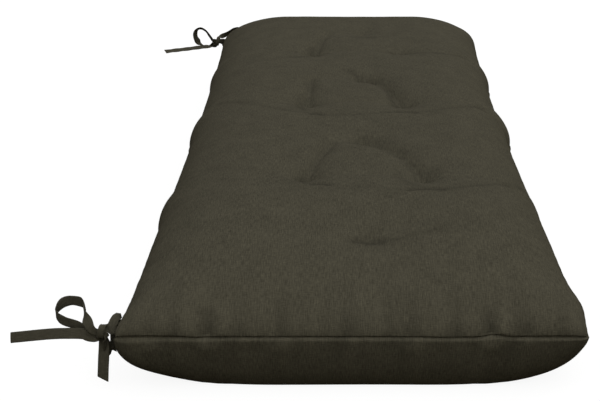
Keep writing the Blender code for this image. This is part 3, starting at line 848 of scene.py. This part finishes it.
backTie = {
    "corner": (-1, 1),
    "wrapSlant": 0.85,
    "loopSlant": -1,
    "wrapSewn": ("end", 35, (-1, 0, 0)),
    "wrapTo": (
        (-35.4, -5.6, 7, (-1, 0, 0), 1),
        (-35.2, -7.6, 20, (-1, 0, 0.1), 1),
        (-34, -8.2, 33, (-0.95, -0.1, -0.2), 1),
        (-29.5, -8.3, 40.4, (-0.7, -0.5, -0.6), 1),
        (-22, -8.3, 39.6, (-0.3, -0.6, -0.75), 1),
        (-13, -8.2, 34.6, (0, -0.6, -0.75), 1),
        (-5, -8, 29.6, (0.2, -0.55, -0.8), 1),
        (2, -7, 27, (0.7, -0.2, -0.5), 0.8),
    ),
    "wrap": {
        "out": 8,
        "in": -3.6,
        "up": 17,
        "radii": (4.6, 8.8),
        "start": 105,
        "turn": -205,
        "advance": 7,
    },
    "tail": (
        (20.5, -2.2, 7.2, (0.6, -0.6, -0.3), 0.62),
        (26.5, 1.6, 7.8, (0.2, -0.95, 0.1), 0.85),
        (33.5, 4.2, 7.8, (0, -0.93, 0.37), 0.95),
        (44, 5, 7, (0, -0.93, 0.37), 1),
        (58, 5, 5.1, (0, -0.93, 0.37), 1),
        (76, 5, 2.8, (0, -0.93, 0.37), 1),
        (97, 4.5, 0.2, (0, -0.93, 0.37), 1),
        (116.8, 4, -2.4, (0, -0.93, 0.37), 1),
    ),
    "loopSewn": ("end", 10, (-1, 0, 0)),
    "loop": (
        (-9.6, -6, 3, (-1, 0, -0.1), 1),
        (-8.6, -7.4, 8.5, (-0.85, -0.2, -0.5), 1),
        (-5, -6.4, 14.2, (-0.45, -0.3, -0.85), 1),
        (1, -4, 16.6, (-0.1, -0.3, -0.95), 1),
        (7, -2.4, 17, (0, -0.1, -1), 0.8),
        (13, -2.2, 17.4, (0, -0.1, -1), 0.65),
        (18, -2.4, 18.2, (0, -0.2, -0.95), 0.65),
        (21.5, -2.8, 18.7, (0, -0.5, -0.85), 0.85),
        (26.5, -2.8, 26, (-0.5, -0.8, -0.25), 0.9),
        (30.6, -2.6, 33, (-0.42, -0.85, -0.3), 1),
        (36.3, -2.2, 39.2, (-0.33, -0.85, -0.38), 1),
        (44.2, -1.6, 43.6, (0, -0.83, -0.55), 1),
        (51.6, -1, 41.3, (0.3, -0.85, -0.42), 1),
        (55.7, -0.8, 33.9, (0.55, -0.8, -0.25), 1),
        (55.3, -2.4, 23.9, (0.66, -0.73, -0.15), 1),
        (50.3, -6.4, 13.8, (0.71, -0.53, -0.46), 1),
        (42, -8.6, 6.2, (0.05, -1, 0.05), 0.9),
        (34.5, -9, 4.6, (0.1, -0.85, -0.5), 0.8),
        (26.5, -8.3, 7, (0.05, -0.75, -0.65), 0.7),
        (19.8, -5.8, 12.6, (0, -0.3, -0.95), 0.6),
        (13.2, -5.4, 15.8, (0, -0.1, -1), 0.6),
        (7.5, -5.8, 15.6, (0.1, -0.2, -0.95), 0.62),
        (2.6, -9.6, 12.6, (0.5, -0.4, -0.75), 0.7),
        (-1.6, -13.2, 5.4, (0.85, -0.3, -0.4), 0.9),
        (-4.5, -14.8, -6, (1, 0, 0), 1),
        (-6.5, -14.8, -18, (1, 0, 0), 1),
        (-8, -13.8, -33, (1, 0, 0), 1),
        (-9, -12.6, -50, (1, 0.05, 0), 1),
    ),
}


def sewnStations(sewn, corner):
    # a tape's end in the seam, and the point where it starts to bend
    edge, distance, wide = sewn
    inward = -corner[1]
    runs = (-tape["sewnIn"], 0, tape["sewnRun"])
    x0, y0 = corner[0] * halfWidth, corner[1] * halfLength
    if edge == "side":
        edges = distance / 1000 + np.array([-0.5, 0, 0.5]) * tape["width"]
        x, _ = drawnIn(np.full(3, x0), y0 + inward * edges)
        out = (x0 - float(x.min())) * 1000 + tape["sewnGap"]
        return [(out + run, distance, 0, wide, 1) for run in runs]
    _, y = drawnIn(np.array([x0 + distance / 1000]), np.array([y0]))
    beyond = inward * (float(y[0]) - y0) * 1000 - tape["sewnGap"]
    return [(-distance, beyond - run, 0, wide, 1) for run in runs]


def wrapStations(wrap, steps=10, share=0.6):
    stations = []
    for step in range(steps + 1):
        angle = math.radians(wrap["start"] + wrap["turn"] * step / steps)
        out = wrap["out"] + wrap["advance"] * step / steps
        inward = wrap["in"] + wrap["radii"][0] * math.cos(angle)
        up = wrap["up"] + wrap["radii"][1] * math.sin(angle)
        stations.append((out, inward, up, (1, 0, 0), share))
    return stations


def tapeRows(stations, corner):
    # centre, width and share along the tape, on one smooth line through its stations
    inward = -corner[1]
    startX, startY = corner[0] * halfWidth, corner[1] * halfLength
    rows = []
    for out, along, up, wide, share in stations:
        place = [startX - out / 1000, startY + inward * along / 1000]
        place.append(cushion["seamHeight"] + up / 1000)
        rows.append([*place, wide[0], inward * wide[1], wide[2], share])
    rows = np.array(rows)
    fine = []
    last = len(rows) - 1
    for k in range(last):
        a, b, c, d = rows[max(k - 1, 0)], rows[k], rows[k + 1], rows[min(k + 2, last)]
        steps = max(1, round(math.dist(b[:3], c[:3]) / tape["step"]))
        for share in np.arange(steps) / steps:
            squared = (2 * a - 5 * b + 4 * c - d) * share**2
            cubed = (3 * b - a - 3 * c + d) * share**3
            fine.append(0.5 * (2 * b + (c - a) * share + squared + cubed))
    return np.array(fine + [rows[-1]])


def tapeFrame(rows):
    # centres, unit directions along, across and out of the tape, shares, and distances along
    centre = rows[:, :3]
    run = np.gradient(centre, axis=0)
    run /= np.linalg.norm(run, axis=1)[:, None]
    wide = rows[:, 3:6] - run * np.sum(rows[:, 3:6] * run, axis=1)[:, None]
    wide /= np.linalg.norm(wide, axis=1)[:, None]
    along = np.concatenate([[0], np.cumsum(np.linalg.norm(np.diff(centre, axis=0), axis=1))])
    return centre, run, wide, np.cross(run, wide), rows[:, 6], along


def tapePoint(at, slant, u, face):
    # points across every row at u, from -1 to 1, on the face +1 or -1 or on the middle, 0
    centre, run, wide, out, shares, along = at
    free = np.clip((shares - tape["gathered"]) / (1 - tape["gathered"]), 0, 1)
    thick = tape["thickness"] / 2 * math.sqrt(max(1 - abs(u) ** tape["edgePower"], 0))
    fromHem = (abs(u) - tape["hemStitch"]) / tape["hemWidth"]
    thick = thick - tape["hemDip"] * math.exp(-(fromHem**2))
    bend = tape["pleat"] * (1 - free) * math.cos(tape["pleats"] * math.pi * u)
    phase = 2 * math.pi * along / tape["ripplePitch"] + (tape["ripplePhase"] if u > 0 else 0)
    calm = np.clip(along / tape["rippleStart"], 0, 1)
    bend = bend + tape["ripple"] * free * calm * u**2 * np.sin(phase)
    end = np.clip((along - along[-1] + tape["endReach"]) / tape["endReach"], 0, 1)
    side = wide * (u * tape["width"] / 2 * shares)[:, None]
    beyond = run * (slant * tape["endSlant"] * u * end)[:, None]
    return centre + side + beyond + out * (bend + face * thick)[:, None]


def tapeMesh(name, at, slant):
    half = tape["columns"]
    columns = [-u for u in half[:0:-1]] + list(half)
    ring = [(u, 1) for u in columns] + [(u, -1) for u in columns[-2:0:-1]]
    points = [tapePoint(at, slant, u, face if abs(u) < 1 else 0) for u, face in ring]
    points = np.stack(points, 1)
    rows, around = points.shape[:2]
    along = at[-1]
    # the cloth runs on round the tape's edge, so the lower face starts past it
    edge = tape["width"] / 2
    across = [u * edge if face > 0 else 3 * edge - u * edge for u, face in ring] + [4 * edge]
    faces, places = [], []
    for k in range(rows - 1):
        for j in range(around):
            cell = ((k, j), (k, j + 1), (k + 1, j + 1), (k + 1, j))
            faces.append([row * around + column % around for row, column in cell])
            places += [(across[column], along[row]) for row, column in cell]

    # strips between the two faces close each end
    last = len(columns) - 1
    for row, isFirst in ((0, True), (rows - 1, False)):
        for j in range(last):
            after = around - j - 1 if j + 1 < last else j + 1
            before = around - j if j > 0 else 0
            columnsHere = dict.fromkeys((j, j + 1, after, before))
            corners = [row * around + column for column in columnsHere]
            faces.append(corners[::-1] if isFirst else corners)
            places += [(tape["endCloth"], along[row])] * len(corners)
    return plainMesh(name, points.reshape(-1, 3), faces, places)


def stitchTree(material):
    tree = bpy.data.node_groups.new("stitches", "GeometryNodeTree")
    kinds = {"Lines": "Geometry", "Pitch": "Float", "Length": "Float", "Thread": "Float"}
    for name, kind in kinds.items():
        tree.interface.new_socket(name, in_out="INPUT", socket_type="NodeSocket" + kind)
    tree.interface.new_socket("Stitches", in_out="OUTPUT", socket_type="NodeSocketGeometry")

    def node(kind, **inputs):
        made = tree.nodes.new(kind)
        for name, value in inputs.items():
            socket = made.inputs[name]
            if isinstance(value, bpy.types.NodeSocket):
                tree.links.new(value, socket)
            else:
                socket.default_value = value
        return made

    given = tree.nodes.new("NodeGroupInput").outputs
    lines = node("GeometryNodeMeshToCurve", Mesh=given["Lines"]).outputs["Curve"]
    spread = tree.nodes.new("GeometryNodeCurveToPoints")
    spread.mode = "LENGTH"
    tree.links.new(lines, spread.inputs["Curve"])
    tree.links.new(given["Pitch"], spread.inputs["Length"])
    ball = node("GeometryNodeMeshUVSphere", Segments=6, Rings=5, Radius=0.5).outputs["Mesh"]
    size = node("ShaderNodeCombineXYZ", X=given["Thread"], Y=given["Thread"], Z=given["Length"])
    spindle = node("GeometryNodeTransform", Geometry=ball, Scale=size.outputs[0])
    placed = node(
        "GeometryNodeInstanceOnPoints",
        Points=spread.outputs["Points"],
        Instance=spindle.outputs["Geometry"],
        Rotation=spread.outputs["Rotation"],
    )
    real = node("GeometryNodeRealizeInstances", Geometry=placed.outputs["Instances"])
    finished = node("GeometryNodeSetMaterial", Geometry=real.outputs["Geometry"], Material=material)
    result = tree.nodes.new("NodeGroupOutput")
    tree.links.new(finished.outputs["Geometry"], result.inputs["Stitches"])
    return tree


def stitched(name, lines, tree):
    # a plain mesh of stitches along the lines, each a list of points
    points, edges = [], []
    for line in lines:
        first = len(points)
        points += [tuple(float(value) for value in point) for point in line]
        edges += [(first + k, first + k + 1) for k in range(len(line) - 1)]
    mesh = bpy.data.meshes.new(name)
    mesh.from_pydata(points, edges, [])
    piece = bpy.data.objects.new(name, mesh)
    bpy.context.scene.collection.objects.link(piece)
    modifier = piece.modifiers.new("stitches", "NODES")
    modifier.node_group = tree
    sizes = {"Pitch": stitch["pitch"], "Length": stitch["length"], "Thread": stitch["thread"]}
    for item in tree.interface.items_tree:
        if item.item_type == "SOCKET" and item.in_out == "INPUT" and item.name in sizes:
            modifier[item.identifier] = sizes[item.name]
    bpy.context.view_layer.update()
    depsgraph = bpy.context.evaluated_depsgraph_get()
    plain = bpy.data.meshes.new_from_object(piece.evaluated_get(depsgraph))
    piece.modifiers.clear()
    piece.data = plain
    plain.shade_smooth()
    return piece


def stitchLines(at, slant):
    # edge stitches run along both faces, and across them close to the free end
    out, along = at[3], at[-1]
    lift = out * stitch["proud"]
    first = int(np.searchsorted(along, stitch["start"]))
    end = int(np.searchsorted(along, along[-1] - tape["endStitch"]))
    lines = []
    for face in (1, -1):
        for u in (-tape["hemStitch"], tape["hemStitch"]):
            lines.append((tapePoint(at, slant, u, face) + lift * face)[first:-1])
        across = np.linspace(-stitch["endSpan"], stitch["endSpan"], 7)
        lines.append([tapePoint(at, slant, u, face)[end] + lift[end] * face for u in across])
    return lines


def threadFinish(name, thread):
    material, made = newFinish(name)
    place = made.node("ShaderNodeTexCoord", output="Object")
    varied = made.clamped(made.noise(place, scale=1 / thread["patch"], detail=2.0))
    sockets = {
        "Base Color": made.mix(varied, thread["dark"], thread["pale"]),
        "Roughness": thread["roughness"],
        "Specular IOR Level": thread["specular"],
    }
    made.surface(sockets)
    return material


tieCloth = {
    **cushionCloth,
    "paintedShading": False,
    "streakContrast": 0.2,
    "threadPitch": 0.0008,
    "slubWidth": 0.0009,
    "slubContrast": 2.0,
    "patchContrast": 0.1,
    "dark": (0.0310, 0.0287, 0.0205, 1),
    "pale": (0.0690, 0.0637, 0.0460, 1),
}

tieThread = {
    "patch": 0.004,
    "dark": (0.0300, 0.0275, 0.0190, 1),
    "pale": (0.0620, 0.0570, 0.0410, 1),
    "roughness": 0.8,
    "specular": 0.2,
}

tieFinish = clothFinish("tieTape", tieCloth)
threads = stitchTree(threadFinish("tieThread", tieThread))


def addTape(name, node, at, slant):
    piece = addPiece(name, tapeMesh(name, at, slant), tieFinish)
    stitches = stitched(name + "Stitches", stitchLines(at, slant), threads)
    for made in (piece, stitches):
        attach(made, "root")
    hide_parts(node)


for name, tie in (("front", frontTie), ("back", backTie)):
    corner = tie["corner"]
    wrapping = [*tie["wrapTo"], *wrapStations(tie["wrap"]), *tie["tail"]]
    for part, stations in (("wrap", wrapping), ("loop", tie["loop"])):
        stations = [*sewnStations(tie[part + "Sewn"], corner), *stations]
        at = tapeFrame(tapeRows(stations, corner))
        addTape(f"{name}Tie{part.title()}", f"{name}_tie_{part}", at, tie[part + "Slant"])
print("ties made")


stage = {
    "floorSize": 150,  # m, each way
    "floor": 0.12,
    "floorGlow": 0.90,
    "sky": 0.78,  # brightness overhead
    "horizon": -0.57,  # what is added to that at the horizon
    "right": 0.44,  # more from +X
    "sides": 0.44,  # more from both sides
    "front": 0.03,  # more from the camera's side
    "big": 1.66,  # a broad light, overhead and in front
    "bigLean": 30,  # degrees from upright
    "bigPower": 4.0,  # how soon it fades around its middle
    "least": 0.03,  # brightness that no direction falls below
    "low": (1.0, 0.92, 0.64, 1),  # tint of the light close to the horizon
    "lowFade": 2,  # how soon that tint fades upwards
    "below": (0.040, 0.030, 0.015, 1),  # what comes back up
}


def makeStage():
    mesh = bpy.data.meshes.new("floor")
    bm = bmesh.new()
    bmesh.ops.create_grid(bm, x_segments=1, y_segments=1, size=stage["floorSize"])
    bm.to_mesh(mesh)
    bm.free()
    material, made = newFinish("floorPaint")
    grey = stage["floor"]
    paint = {"Base Color": (grey, grey, grey, 1), "Roughness": 0.9, "Specular IOR Level": 0.0}
    paint.update({"Emission Color": (1, 1, 1, 1), "Emission Strength": stage["floorGlow"]})
    made.surface(paint)
    floor = addPiece("floor", mesh, material)
    floor.visible_diffuse = False  # the world's lower half stands in for what it would send back
    floor.visible_glossy = False

    world = bpy.data.worlds.new("studio")
    world.use_nodes = True
    made = Shading(world.node_tree)
    x, y, z = made.parts(made.node("ShaderNodeTexCoord", output="Generated"))  # the direction
    lean = math.radians(stage["bigLean"])
    toBig = made.math("MAXIMUM", z * math.cos(lean) - y * math.sin(lean), 0.0)
    big = made.math("POWER", toBig, stage["bigPower"]) * stage["big"]
    above = (1 - z) * stage["horizon"] + big + stage["sky"]
    above = above + x * stage["right"] + x * x * stage["sides"] - y * stage["front"]
    isAbove = made.math("GREATER_THAN", z, 0.0)
    colour = made.mix(made.clamped(z * stage["lowFade"]), stage["low"], (1, 1, 1, 1))
    colour = made.mix(isAbove, stage["below"], colour)
    strength = made.math("MAXIMUM", above, stage["least"]) * isAbove + (1 - isAbove)
    background = made.node("ShaderNodeBackground", {}, {"Color": colour, "Strength": strength})
    made.node("ShaderNodeOutputWorld", {}, {"Surface": background})
    bpy.context.scene.world = world
    bpy.context.scene.view_settings.view_transform = "Standard"


makeStage()
print("stage made")
